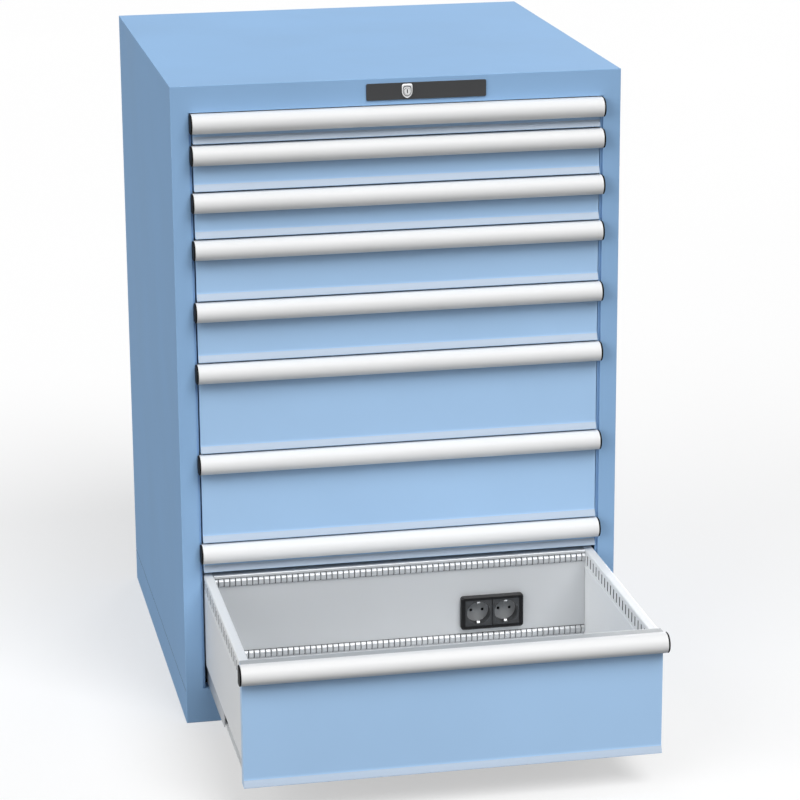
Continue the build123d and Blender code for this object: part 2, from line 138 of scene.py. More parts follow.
# Carriages: on each side of a drawer an angle of thick plated sheet, with one roller that runs in
# the drawer's rail and one that runs in the housing's track, each on a riveted axle.
drawer_count = 9
drawer_numbers = range(1, drawer_count + 1)
carriage_half = 0.322
carriage_sheet = 0.002
carriage_bend = 0.001
cover_width = 0.0098
sheared_edge = 0.0003
bend_steps = 5
smooth_bend = 40
roller_radius = 0.0105
roller_lift = 0.0153
roller_inset = 0.022
inner_roller = (0.3127, 0.320)
outer_roller = (0.322, 0.334)
roller_rim_shares = np.array([0.42, 0.86, 0.97, 1.0, 1.0, 0.97, 0.86, 0.42])
roller_along_shares = np.array([0.0, 0.0, 0.05, 0.11, 0.89, 0.95, 1.0, 1.0])
rivet_radius = 0.0029
rivet_head = 0.0005
rivet_rim_shares = np.array([0.5, 0.9, 1.0, 1.0, 0.9, 0.5])
rivet_along_shares = np.array([1.0, 0.5, 0.0])
roller_grey = (0.050, 0.052, 0.056)
arc_columns = 40


def round_corners(corners, radii):
    """A closed outline whose corners are bent: at each corner a parabola leaves the edge one
    radius before the corner and joins the next edge one radius after it."""
    corners = np.asarray(corners, float)
    radii = np.broadcast_to(radii, len(corners))[:, None, None]
    to_last = np.roll(corners, 1, axis=0) - corners
    to_next = np.roll(corners, -1, axis=0) - corners
    to_last /= np.linalg.norm(to_last, axis=1, keepdims=True)
    to_next /= np.linalg.norm(to_next, axis=1, keepdims=True)
    t = np.linspace(0, 1, bend_steps)[None, :, None]
    bends = (1 - t) ** 2 * to_last[:, None] + t**2 * to_next[:, None]
    return (corners[:, None] + radii * bends).reshape(-1, 2)


def grid_cells(rows, columns, wrap_rows=False, wrap_columns=False):
    """Corner numbers of a grid's cells, whose points are numbered row by row. A cell faces the
    way that the row direction crossed with the column direction points."""
    row = np.arange(rows if wrap_rows else rows - 1)[:, None]
    column = np.arange(columns if wrap_columns else columns - 1)[None, :]
    next_row = (row + 1) % rows
    next_column = (column + 1) % columns
    corners = (row * columns + column, next_row * columns + column,
               next_row * columns + next_column, row * columns + next_column)
    return np.stack(np.broadcast_arrays(*corners), axis=-1)


def carry(outline, start, end, axis):
    """A shape made by carrying a closed outline straight from start to end along X or Y. The
    outline lies in YZ or XZ, its points and their copies make the side, and it closes both ends."""
    following = np.roll(outline, -1, axis=0)
    area = np.sum(outline[:, 0] * following[:, 1] - following[:, 0] * outline[:, 1])
    if (area > 0) != (axis == "x"):
        outline = outline[::-1]
    along = np.broadcast_to([start, end], (len(outline), 2))
    first, second = (np.repeat(outline[:, side, None], 2, axis=1) for side in (0, 1))
    points = np.stack([along, first, second] if axis == "x" else [first, along, second], axis=-1)
    cells = grid_cells(len(outline), 2, wrap_rows=True).reshape(-1, 4)
    ends = np.arange(2 * len(outline)).reshape(-1, 2)
    return points.reshape(-1, 3), cells, [ends[::-1, 0], ends[:, 1]]


def turn(along, radii, centre):
    """A shape turned about an axle parallel to X: at each place along it a circle of the given
    radius, Y by the sine and Z by the cosine of the angle, closed by a disc at both ends."""
    angle = np.linspace(0, 2 * np.pi, arc_columns, endpoint=False)
    x = np.repeat(along[:, None], arc_columns, axis=1)
    y = centre[0] + radii[:, None] * np.sin(angle)
    z = centre[1] + radii[:, None] * np.cos(angle)
    cells = grid_cells(len(along), arc_columns, wrap_columns=True).reshape(-1, 4)
    rings = np.arange(len(along) * arc_columns).reshape(-1, arc_columns)
    return np.stack([x, y, z], axis=-1).reshape(-1, 3), cells, [rings[0], rings[-1, ::-1]]


def mirrored(shape):
    """The same shape on the other side of the YZ plane, with its faces turned back outwards."""
    points, cells, ends = shape
    return points * (-1, 1, 1), cells[:, ::-1], [end[::-1] for end in ends]


def both_sides(*shapes):
    """The shapes and their mirror images."""
    return [*shapes, *(mirrored(shape) for shape in shapes)]


def lay_piece(name, finish, shapes, smooth_below=None):
    """One mesh object at the origin from several shapes, each a set of points, four-cornered
    cells and closing ends, with a finish. Edges bent less than smooth_below degrees shade round."""
    starts = np.cumsum([0] + [len(points) for points, cells, ends in shapes])
    faces = []
    for first, (points, cells, ends) in zip(starts, shapes):
        faces += (cells + first).tolist() + [(end + first).tolist() for end in ends]
    mesh = bpy.data.meshes.new(name)
    mesh.from_pydata(np.concatenate([points for points, cells, ends in shapes]).tolist(), [], faces)
    mesh.materials.append(finish)
    if smooth_below:
        mesh.shade_smooth()
        mesh.set_sharp_from_angle(angle=np.radians(smooth_below))
    piece = bpy.data.objects.new(name, mesh)
    bpy.context.scene.collection.objects.link(piece)
    return piece


roller_finish = mottled_finish("roller_nylon", roller_grey, roughness=0.45, grain_scale=1500.0)
for number in drawer_numbers:
    node = f"drawer_{number}_carriage"
    low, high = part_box(node)
    cover_inner = carriage_half - cover_width
    cover_under = high.z - carriage_sheet
    web_inner = carriage_half - carriage_sheet
    angle_outline = round_corners(
        [(cover_inner, high.z), (carriage_half, high.z), (carriage_half, low.z), (web_inner, low.z),
         (web_inner, cover_under), (cover_inner, cover_under)],
        [sheared_edge, carriage_bend + carriage_sheet, sheared_edge, sheared_edge, carriage_bend,
         sheared_edge])
    axles = ((inner_roller, low.y + roller_inset), (outer_roller, high.y - roller_inset))
    rollers, rivets = [], []
    for (start, end), y in axles:
        middle = (y, low.z + roller_lift)
        tread = start + (end - start) * roller_along_shares
        rollers.append(turn(tread, roller_radius * roller_rim_shares, middle))
        head = rivet_head * rivet_along_shares
        rivet = np.concatenate([start - head, end + head[::-1]])
        rivets.append(turn(rivet, rivet_radius * rivet_rim_shares, middle))
    angles = lay_piece(f"carriage_{number}_angles", zinc,
                       both_sides(carry(angle_outline, low.y, high.y, "y"), *rivets),
                       smooth_below=smooth_bend)
    wheels = lay_piece(f"carriage_{number}_rollers", roller_finish, both_sides(*rollers),
                       smooth_below=smooth_bend)
    for piece in (angles, wheels):
        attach(piece, f"carriage_{number}")
        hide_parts(node)

# Trays: floor and side walls are one folded sheet whose upper edges turn out as a flat rim and down
# again as an outer skin. Wall and skin are punched with slots for partitions over a pressed bead. End
# walls and rails are welded on. The sheet's back faces and cut edges are painted near black as
# painted shade, the shade between wall and skin, and the floor is painted a darker grey as painted shade.
tray_grey = (0.800, 0.818, 0.832)
# painted shade: the tray's floor takes a darker grey than its walls
floor_shade_grey = (0.730, 0.747, 0.760)
# painted shade: near black for the sheet's back faces and cut edges, the shade inside the folded wall
cavity_shade_dark = (0.045, 0.047, 0.050)
tray_sheet = 0.0012
tray_lift = 0.008
front_gap = 0.0015
rim_drop = 0.005
tray_half = 0.309
rim_half = 0.324
bend_radius = 0.002
skin_lift = 0.0391
slot_pitch = 0.018
slot_width = 0.0045
slot_height = 0.016
slot_drop = 0.007
slots_to_front = 0.015
bead_drop = 0.030
bead_half = 0.0015
bead_press = 0.0011
row_limit_share = 0.85
rail_half_height = 0.0123
rail_lift = 0.0223
rail_tip = 0.3197
rail_sheet = 0.0015
rail_outer_bend = 0.0015
rail_inner_bend = 0.0005
rear_hem = 0.012
tray_paint = mottled_finish("tray_coat_grey", tray_grey, roughness=0.40, shade=0.02, grain_scale=800.0)
tray_floor_shade = mottled_finish("tray_floor_painted_shade", floor_shade_grey, roughness=0.46, shade=0.03, cloud_scale=7.0,
                            grain_scale=800.0)
cavity_shade_finish = mottled_finish("cavity_painted_shade", cavity_shade_dark, roughness=0.6, specular=0.2, shade=0.1,
                           cloud_scale=60.0)


def folded_tray(front, back, floor_top, rim, skin_foot):
    """The section is a line from one skin over rim, wall, floor, wall and rim to the other skin,
    with quarter circles at its bends and a shallow V for the bead, and it is carried along Y. The
    cells that lie in a slot, between its ends along Y and its foot and head along Z, are left out."""
    bend = np.linspace(0, np.pi / 2, bend_steps)
    deep = rim - skin_foot > slot_drop + slot_height
    drops = np.array([slot_drop, slot_drop + slot_height,
                      bead_drop - bead_half, bead_drop, bead_drop + bead_half])
    shrink = min(1, (row_limit_share * (rim - skin_foot) - bend_radius) / (drops[-1] - bend_radius))
    rows = rim - bend_radius - (drops - bend_radius) * shrink
    press = bead_press * (drops == bead_drop) * deep
    half_x = np.concatenate([
        [0], tray_half - bend_radius * (1 - np.sin(bend)), tray_half - press[::-1],
        tray_half + bend_radius * (1 - np.cos(bend)), rim_half - bend_radius * (1 - np.sin(bend)),
        rim_half - press, [rim_half]])
    half_z = np.concatenate([
        [floor_top], floor_top + bend_radius * (1 - np.cos(bend)), rows[::-1],
        rim - bend_radius * (1 - np.sin(bend)), rim - bend_radius * (1 - np.cos(bend)),
        rows, [skin_foot]])
    section_x = np.concatenate([-half_x[:0:-1], half_x])
    section_z = np.concatenate([half_z[:0:-1], half_z])
    slot_starts = np.arange(front + slots_to_front, back - slots_to_front, slot_pitch) - slot_width / 2
    slot_ends = np.stack([slot_starts, slot_starts + slot_width], axis=1)
    along = np.concatenate([[front], slot_ends.ravel(), [back]])
    x, y = np.broadcast_arrays(section_x[:, None], along[None, :])
    z = np.broadcast_to(section_z[:, None], x.shape)
    middle_z = (section_z[1:] + section_z[:-1]) / 2
    slot_rows = (middle_z > rows[1]) & (middle_z < rows[0]) & deep
    slot_columns = np.arange(len(along) - 1) % 2 == 1
    cells = grid_cells(*x.shape)[~(slot_rows[:, None] & slot_columns[None, :])]
    return np.stack([x, y, z], axis=-1).reshape(-1, 3), cells, []


def thicken(piece, sheet, behind=None):
    """Gives a sheet its thickness behind the side that its cells face. A second finish, when given,
    goes on its back side and its cut edges, and paints shade there."""
    wall = piece.modifiers.new("sheet", "SOLIDIFY")
    wall.thickness = sheet
    wall.offset = -1.0
    wall.use_even_offset = True
    if behind:
        piece.data.materials.append(behind)
        wall.material_offset = 1
        wall.material_offset_rim = 1


for number in drawer_numbers:
    node = f"drawer_{number}_tray"
    low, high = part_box(node)
    bay_bottom = low.z - front_gap
    floor_low = bay_bottom + tray_lift
    floor_top = floor_low + tray_sheet
    rim = high.z - rim_drop
    front = low.y + tray_sheet
    back = high.y - rear_hem
    back_outer = back + tray_sheet
    pan = lay_piece(f"drawer_{number}_pan", tray_paint,
                    [folded_tray(front, back_outer, floor_top, rim, bay_bottom + skin_lift)])
    # the back faces and cut edges take the near-black painted shade
    thicken(pan, tray_sheet, cavity_shade_finish)
    # the floor's cells take the darker grey of painted shade
    floor_index = len(pan.data.materials)
    pan.data.materials.append(tray_floor_shade)
    middles = np.empty(3 * len(pan.data.polygons), np.float32)
    pan.data.polygons.foreach_get("center", middles)
    on_floor = middles[2::3] < floor_top + sheared_edge
    pan.data.polygons.foreach_set("material_index", floor_index * on_floor.astype(np.int32))
    wall_outer = tray_half + tray_sheet
    rail_middle = bay_bottom + rail_lift
    rail_low, rail_high = rail_middle - rail_half_height, rail_middle + rail_half_height
    rail_outline = round_corners(
        [(rail_tip, rail_low), (wall_outer, rail_low), (wall_outer, rail_high), (rail_tip, rail_high),
         (rail_tip, rail_high - rail_sheet), (wall_outer + rail_sheet, rail_high - rail_sheet),
         (wall_outer + rail_sheet, rail_low + rail_sheet), (rail_tip, rail_low + rail_sheet)],
        [sheared_edge, rail_outer_bend, rail_outer_bend, sheared_edge,
         sheared_edge, rail_inner_bend, rail_inner_bend, sheared_edge])
    rails = lay_piece(f"drawer_{number}_rails", tray_paint,
                      both_sides(carry(rail_outline, front, back_outer, "y")), smooth_below=smooth_bend)
    front_wall = round_corners([(low.y, low.z), (front, low.z), (front, high.z), (low.y, high.z)],
                               sheared_edge)
    rear_wall = round_corners(
        [(back, floor_low), (back, rim), (back + rear_hem, rim), (back + rear_hem, rim - tray_sheet),
         (back_outer, rim - tray_sheet), (back_outer, floor_low)],
        [sheared_edge, bend_radius, sheared_edge, sheared_edge, bend_radius - tray_sheet, sheared_edge])
    ends = lay_piece(f"drawer_{number}_tray_ends", tray_paint,
                     [carry(front_wall, low.x, high.x, "x"), carry(rear_wall, -tray_half, tray_half, "x")],
                     smooth_below=smooth_bend)
    for piece in (pan, rails, ends):
        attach(piece, f"drawer_{number}")
        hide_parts(node)

# Drawer fronts: shallow pans folded from sheet steel and coated a paler blue than the housing. The
# lower edge kicks out and catches the light, its slope is painted a whiter blue as a painted
# highlight, and the pan is screwed to the tray's front wall.
front_blue = (0.386, 0.592, 0.858)
# painted highlight: the kick's slope takes this paler, whiter blue
kick_highlight_pale = (0.440, 0.535, 0.660)
front_depth = 0.016
front_bend = 0.0014
front_edge = 0.0009
kick_reach = 0.006
kick_height = 0.012
kick_bend = 0.003
kick_turn = 0.3
soft_edge_segments = 3
soft_edge_bend = 50
front_roughness = 0.37
front_finish = mottled_finish("front_coat_blue", front_blue, front_roughness, shade=0.05, cloud_scale=1.8)
kick_highlight_finish = mottled_finish("kick_painted_highlight", kick_highlight_pale, front_roughness, shade=0.02)


def soften(piece, width):
    """Rounds the edges that are still sharp, such as the ends of a carried outline."""
    edge = piece.modifiers.new("soft_edge", "BEVEL")
    edge.width = width
    edge.segments = soft_edge_segments
    edge.limit_method = "ANGLE"
    edge.angle_limit = np.radians(soft_edge_bend)
    edge.harden_normals = True


for number in drawer_numbers:
    node = f"drawer_{number}_front"
    low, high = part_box(node)
    face = low.y + kick_reach
    outline = round_corners(
        [(face + front_depth, low.z), (low.y, low.z), (face, low.z + kick_height), (face, high.z),
         (face + front_depth, high.z)],
        [sheared_edge, front_bend, kick_bend, front_bend, sheared_edge])
    front = lay_piece(f"drawer_{number}_panel", front_finish, [carry(outline, low.x, high.x, "x")],
                      smooth_below=smooth_bend)
    normals = np.empty(3 * len(front.data.polygons), np.float32)
    front.data.polygons.foreach_get("normal", normals)
    on_kick = (normals[2::3] > kick_turn) & (normals[1::3] < -kick_turn)
    # the kick's cells take the painted highlight
    front.data.materials.append(kick_highlight_finish)
    front.data.polygons.foreach_set("material_index", on_kick.astype(np.int32))
    soften(front, front_edge)
    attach(front, f"drawer_{number}")
    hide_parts(node)

# Handle bars: an extruded light-alloy profile along the top of each front, open below for the
# fingers, and coated white. Its flange covers the front's upper edge and is painted mid grey as
# painted shade, its web is screwed to the front, and black moulded caps close its ends.
bar_white = (0.820, 0.825, 0.830)
# painted shade: the flange's mid grey stands in for the shade behind the bar
flange_shade_grey = (0.400, 0.415, 0.425)
bar_height = 0.031
bar_radius = bar_height / 2
bar_wall = 0.0025
bar_web = 0.021
bar_cover = 0.0015
bar_smooth_bend = 35
web_foot_round = 0.0008
web_inner_round = 0.001
flange_half = 0.3245
grip_span = (90, 245)
grip_steps = 48
lip_steps = 9
grip_angles = np.radians(np.linspace(*grip_span, grip_steps))
lip_turn = np.radians(np.linspace(0, 180, lip_steps))[1:-1]
cap_black = (0.012, 0.012, 0.013)
cap_heel_round = 0.0015
cap_edge = 0.0011
bar_finish = mottled_finish("bar_coat_white", bar_white, roughness=0.38, specular=0.10, shade=0.015,
                            grain_scale=700.0, grain_depth=0.00002)
flange_shade_finish = mottled_finish("bar_flange_painted_shade", flange_shade_grey, roughness=0.45, shade=0.03,
                               grain_scale=700.0)
cap_finish = mottled_finish("cap_plastic_black", cap_black, roughness=0.5, specular=0.05, shade=0.12,
                            grain_scale=1800.0)


def bar_section(face, low_y, top):
    """The bar's section in YZ: up its web, forward over the top, round the grip's outer arc, in a
    half circle about the lip's end, and back inside at one wall's distance."""
    crown = np.array([low_y + bar_radius, top - bar_radius])
    spoke = np.stack([np.cos(grip_angles), np.sin(grip_angles)], axis=1)
    across = np.array([-spoke[-1, 1], spoke[-1, 0]])
    lip = crown + spoke[-1] * (bar_radius - bar_wall / 2)
    lip_spoke = np.cos(lip_turn)[:, None] * spoke[-1] + np.sin(lip_turn)[:, None] * across
    lip_arc = lip + bar_wall / 2 * lip_spoke
    foot = top - bar_web
    under = top - bar_wall
    web_front = face - bar_wall
    web = round_corners([(face, foot), (face, top), (crown[0], top), (crown[0], foot)],
                        [web_foot_round, sheared_edge, 0, 0])[:2 * bend_steps]
    inside = round_corners([(crown[0], under), (web_front, under), (web_front, foot), (crown[0], foot)],
                           [0, web_inner_round, web_foot_round, 0])[bend_steps:3 * bend_steps]
    return np.concatenate([web, crown + spoke * bar_radius, lip_arc,
                           crown + spoke[::-1] * (bar_radius - bar_wall), inside])


for number in drawer_numbers:
    node = f"drawer_{number}_handle_bar"
    low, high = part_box(node)
    face = high.y - front_depth
    flange = round_corners([(face, high.z - bar_cover), (high.y, high.z - bar_cover), (high.y, high.z),
                            (face, high.z)], sheared_edge)
    bar = lay_piece(f"drawer_{number}_bar", bar_finish,
                    [carry(bar_section(face, low.y, high.z), low.x, high.x, "x")],
                    smooth_below=bar_smooth_bend)
    cover = lay_piece(f"drawer_{number}_bar_flange", flange_shade_finish,
                      [carry(flange, -flange_half, flange_half, "x")], smooth_below=bar_smooth_bend)
    for piece in (bar, cover):
        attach(piece, f"drawer_{number}")
        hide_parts(node)
    cap_node = f"drawer_{number}_end_caps"
    cap_low, cap_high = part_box(cap_node)
    crown = np.array([cap_low.y + bar_radius, cap_high.z - bar_radius])
    arc = crown + bar_radius * np.stack([np.cos(grip_angles), np.sin(grip_angles)], axis=1)
    heel = round_corners([(cap_high.y, cap_low.z), (cap_high.y, cap_high.z), (crown[0], cap_high.z),
                          (crown[0], cap_low.z)],
                         [cap_heel_round, cap_heel_round, 0, 0])[:2 * bend_steps]
    caps = lay_piece(f"drawer_{number}_caps", cap_finish,
                     both_sides(carry(np.concatenate([heel, arc]), high.x, cap_high.x, "x")),
                     smooth_below=bar_smooth_bend)
    soften(caps, cap_edge)
    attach(caps, f"drawer_{number}")
    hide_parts(cap_node)

# Lock: a dark moulded strip on the header, a polished shield on it, and in its bore the plug that
# takes the key and turns the lock bar behind. The strip is screwed on from behind.
strip_grey = (0.045, 0.046, 0.048)
polished = (0.790, 0.795, 0.800)
groove_shade_dark = (0.100, 0.102, 0.105)
keyhole_shade_black = (0.004, 0.004, 0.004)
groove_share = 0.28
keyhole_start = 0.0006
lock_x = 0.013
strip_corner = 0.0025
strip_edge = 0.0005
plug_bore = 0.0052
shield_shoulder_share = 0.45
shield_belly_shares = (0.38, 0.80)
shield_corner = 0.003
shield_corner_steps = 7
shield_side_steps = 24
shield_columns = 96
shield_smooth_bend = 50
shield_rows = np.array([[0, 0], [0, 0.55], [0.05, 0.85], [0.16, 1.0], [0.46, 1.0], [0.52, 0.62],
                        [0.68, 0.6], [0.74, 0.95], [0.95, 0.95], [1, 0.85], [1, 0]])
lock_strip = mottled_finish("lock_strip_dark", strip_grey, roughness=0.55, specular=0.3, shade=0.06,
                            grain_scale=1400.0, grain_depth=0.00004)
shield_polish = mottled_finish("shield_polish", polished, roughness=0.30, metallic=0.6, shade=0.03,
                               grain_depth=0.00001)
plug_polish = mottled_finish("plug_polish", polished, roughness=0.30, metallic=0.4, shade=0.03,
                             grain_depth=0.00001)
refinish(plug_polish, "lock_cylinder")


def shield_outline(low, high):
    """A shield in XZ, even steps along its edge: a flat top with bent corners, straight shoulders
    and two arcs that pass the belly points and meet at the foot."""
    half = (high.x - low.x) / 2
    middle = (high.x + low.x) / 2
    height = high.z - low.z
    shoulder = high.z - height * shield_shoulder_share
    t = np.linspace(0, 1, shield_side_steps)[1:]
    belly = np.array([2 * half * shield_belly_shares[0], high.z - height * shield_belly_shares[1]])
    start, foot = np.array([half, shoulder]), np.array([0, low.z])
    pull = 2 * belly - (start + foot) / 2
    side = ((1 - t) ** 2)[:, None] * start + (2 * t * (1 - t))[:, None] * pull + (t**2)[:, None] * foot
    bend = np.linspace(0, np.pi / 2, shield_corner_steps)
    corner = np.stack([half - shield_corner * (1 - np.sin(bend)),
                       high.z - shield_corner * (1 - np.cos(bend))], axis=1)
    right = np.concatenate([[[0, high.z]], corner, [[half, shoulder]], side])
    line = np.concatenate([right, right[-2:0:-1] * (-1, 1), right[:1]])
    length = np.concatenate([[0], np.cumsum(np.linalg.norm(np.diff(line, axis=0), axis=1))])
    even = np.linspace(0, length[-1], shield_columns, endpoint=False)
    x = middle + np.interp(even, length, line[:, 0])
    return np.stack([x, np.interp(even, length, line[:, 1])], axis=1)


def domed_shield(low, high):
    """Rows run from the shield's edge to the bore, blending the two outlines, and their heights
    give a rounded edge, a ring groove round the bore and a closed back."""
    edge = shield_outline(low, high)
    centre = np.array([lock_x, (low.z + high.z) / 2])
    reach = edge - centre
    bore = centre + plug_bore * reach / np.linalg.norm(reach, axis=1, keepdims=True)
    blend, lift = shield_rows[:, 0, None, None], shield_rows[:, 1, None]
    flat = edge * (1 - blend) + bore * blend
    y = np.broadcast_to(high.y - lift * (high.y - low.y), flat.shape[:2])
    points = np.stack([flat[..., 0], y, flat[..., 1]], axis=-1)
    cells = grid_cells(*y.shape, wrap_rows=True, wrap_columns=True)
    return points.reshape(-1, 3), cells.reshape(-1, 4), []


strip_low, strip_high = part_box("lock_panel")
strip_outline = round_corners([(strip_low.x, strip_low.z), (strip_high.x, strip_low.z),
                               (strip_high.x, strip_high.z), (strip_low.x, strip_high.z)], strip_corner)
strip = lay_piece("lock_strip", lock_strip, [carry(strip_outline, strip_low.y, strip_high.y, "y")],
                  smooth_below=smooth_bend)
soften(strip, strip_edge)
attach(strip, "housing")
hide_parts("lock_panel")

shield_low, shield_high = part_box("lock_escutcheon")
# painted shade: the shield goes dark behind a depth, in its ring groove and along its rounded edge
tone_beyond(shield_polish, "Y", shield_low.y + groove_share * (shield_high.y - shield_low.y), groove_shade_dark)
# painted shade: the plug goes black behind its face, in the key slot and down its side
tone_beyond(plug_polish, "Y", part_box("lock_cylinder")[0].y + keyhole_start, keyhole_shade_black)
shield = lay_piece("lock_shield", shield_polish, [domed_shield(shield_low, shield_high)],
                   smooth_below=shield_smooth_bend)
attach(shield, "housing")
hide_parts("lock_escutcheon")

# Socket panel: a grey sheet across the lowest tray, folded back at its top as a cover over the
# wiring. Two slit strips for partitions are riveted along its top and foot.
panel_grey = (0.620, 0.635, 0.650)
strip_metal = (0.600, 0.615, 0.630)
panel_sheet = 0.0012
panel_bend = 0.002
window_play = 0.0005
window_cell = (1, 1)
box_wall = 0.003
strip_height = 0.014
strip_sheet = 0.001
strip_reach = 0.004
strip_drop = 0.005
lower_strip_drop = 0.131
strip_bevel_share = 0.57
crest_rows = 15
crest_fullness = 0.75
ring_pitch = 0.0093
ring_slit = 0.0016
ring_shoulder = 0.0009
shoulder_share = 0.9
slit_depth_share = 0.05
# painted shade: near black in the strips' slits and along their top and foot
slit_shade_dark = (0.030, 0.031, 0.033)
slit_floor = 0.0006
panel_finish = mottled_finish("panel_coat_grey", panel_grey, roughness=0.36, metallic=0.25, shade=0.02,
                              cloud_scale=3.0, grain_scale=800.0)
strip_finish = mottled_finish("strip_plate", strip_metal, roughness=0.42, metallic=0.45, shade=0.06,
                              cloud_scale=30.0)


def folded_panel(low, high, panel_face, window_low, window_high):
    """The section goes up the panel's face, round its bend and back along the cover, and is
    carried from right to left. The cell that lies in the socket's window is left out."""
    bend = np.linspace(0, np.pi / 2, bend_steps)
    upright = [low.z, window_low[1], window_high[1], high.z - panel_bend]
    y = np.concatenate([np.full(len(upright), panel_face),
                        panel_face + panel_bend * (1 - np.cos(bend))[1:], [high.y]])
    z = np.concatenate([upright, high.z - panel_bend * (1 - np.sin(bend))[1:], [high.z]])
    x = np.array([high.x, window_high[0], window_low[0], low.x])
    points = np.stack(np.broadcast_arrays(x[None, :], y[:, None], z[:, None]), axis=-1)
    cells = grid_cells(len(y), len(x))
    keep = np.ones(cells.shape[:2], bool)
    keep[window_cell] = False
    return points.reshape(-1, 3), cells[keep], []


def slit_strip(left, right, panel_face, strip_top):
    """The section is bevelled above and below, eased by a cubic towards its crest, and runs from the
    panel's face round the crest and back. Along X its reach drops into a slit at each pitch, with
    rounded shoulders."""
    v = np.linspace(-1, 1, crest_rows)
    bevel = np.minimum(1, (1 - np.abs(v)) / strip_bevel_share)
    crest = bevel * (1.5 - 0.5 * bevel**2) * crest_fullness + bevel * (1 - crest_fullness)
    z = np.concatenate([[strip_top], strip_top - strip_height * (v + 1) / 2, [strip_top - strip_height]])
    count = int((right - left) // ring_pitch)
    middles = (left + right) / 2 + (np.arange(count) - (count - 1) / 2) * ring_pitch
    steps = np.array([ring_shoulder / 2, ring_slit / 2, ring_slit / 2 + ring_shoulder])
    shares = np.array([slit_depth_share, shoulder_share, 1.0])
    slit_x = middles[:, None] + np.concatenate([-steps[::-1], steps])
    slit_shares = np.concatenate([shares[::-1], shares])
    x = np.concatenate([[left], slit_x.ravel(), [right]])
    reach = np.concatenate([[1], np.tile(slit_shares, count), [1]])
    on_face = np.zeros((1, len(x)))
    depth = np.concatenate([on_face, strip_sheet + strip_reach * crest[:, None] * reach, on_face])
    points = np.stack(np.broadcast_arrays(x[None, :], panel_face - depth, z[:, None]), axis=-1)
    cells = grid_cells(*depth.shape, wrap_rows=True)
    ends = np.arange(depth.size).reshape(depth.shape)
    return points.reshape(-1, 3), cells.reshape(-1, 4)[:, ::-1], [ends[:, 0], ends[::-1, -1]]


panel_low, panel_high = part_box("socket_panel")
bezel_low, bezel_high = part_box("socket_housing")
panel_face = panel_low.y + strip_sheet + strip_reach
window_edge = box_wall - window_play
# painted shade: the strip goes near black close to the panel's face, in its slits and at its edges
tone_beyond(strip_finish, "Y", panel_face - strip_sheet - slit_floor, slit_shade_dark)
panel = lay_piece("socket_back_panel", panel_finish,
                  [folded_panel(panel_low, panel_high, panel_face,
                                (bezel_low.x + window_edge, bezel_low.z + window_edge),
                                (bezel_high.x - window_edge, bezel_high.z - window_edge))])
thicken(panel, panel_sheet)
strips = lay_piece("partition_strips", strip_finish,
                   [slit_strip(panel_low.x, panel_high.x, panel_face, panel_high.z - drop)
                    for drop in (strip_drop, lower_strip_drop)])
for piece in (panel, strips):
    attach(piece, "drawer_9")
    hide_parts("socket_panel")

# Sockets: a black moulded bezel with two grey inserts, each a round cup with two pin holes and
# an earth spring of bright sheet at its top and foot. They snap into the panel from the front.
bezel_black = (0.010, 0.010, 0.011)
insert_grey = (0.050, 0.052, 0.055)
cup_grey = (0.330, 0.338, 0.346)
pin_hole_shade_black = (0.004, 0.004, 0.004)
spring_bright = (0.850, 0.855, 0.860)
insert_sink = 0.001
cup_radius = 0.0195
cup_depth = 0.017
cup_pitch = 0.046
hole_edge = 0.0005
spring_half_width = 0.0028
spring_bulge = 0.0042
spring_foot = 0.0003
bulge_to_front = 0.6
bulge_fullness = 0.7
spring_start = 0.0012
spring_length = 0.013
spring_sheet = 0.0005
spring_rows = 13
spring_columns = 5
spring_smooth_bend = 50
bezel_finish = mottled_finish("bezel_plastic_black", bezel_black, roughness=0.32, specular=0.2, shade=0.1,
                              grain_scale=1600.0)
insert_finish = mottled_finish("insert_plastic_grey", insert_grey, roughness=0.42, specular=0.2, shade=0.05,
                               grain_scale=1600.0)
spring_finish = mottled_finish("earth_spring", spring_bright, roughness=0.22, metallic=0.7, shade=0.03)


def earth_spring(x, y, z, hand):
    """A narrow strip along the cup's wall that bulges towards its axle by a power of a sine over its
    length, whose crest lies nearer to the front."""
    t = np.linspace(0, 1, spring_rows)[:, None]
    across = np.linspace(spring_half_width, -spring_half_width, spring_columns)[None, :]
    inward = spring_bulge * np.abs(np.sin(np.pi * t**bulge_to_front)) ** bulge_fullness + spring_foot
    points = np.stack(np.broadcast_arrays(x + across, y + spring_start + spring_length * t,
                                          z + hand * (cup_radius - inward)), axis=-1)
    cells = grid_cells(spring_rows, spring_columns).reshape(-1, 4)
    return points.reshape(-1, 3), cells if hand < 0 else cells[:, ::-1], []


refinish(bezel_finish, "socket_housing")
refinish(insert_finish, "socket_inserts")
insert_front = bezel_low.y + insert_sink
cup_floor = insert_front + cup_depth
tone_beyond(insert_finish, "Y", cup_floor - hole_edge, cup_grey)
# painted shade: near black in the pin holes beyond the cup's floor
tone_beyond(insert_finish, "Y", cup_floor + hole_edge, pin_hole_shade_black)
socket_x = (bezel_low.x + bezel_high.x) / 2
socket_z = (bezel_low.z + bezel_high.z) / 2
springs = lay_piece("earth_springs", spring_finish,
                    [earth_spring(socket_x + side * cup_pitch / 2, insert_front, socket_z, hand)
                     for side in (-1, 1) for hand in (-1, 1)], smooth_below=spring_smooth_bend)
thicken(springs, spring_sheet)
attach(springs, "drawer_9")

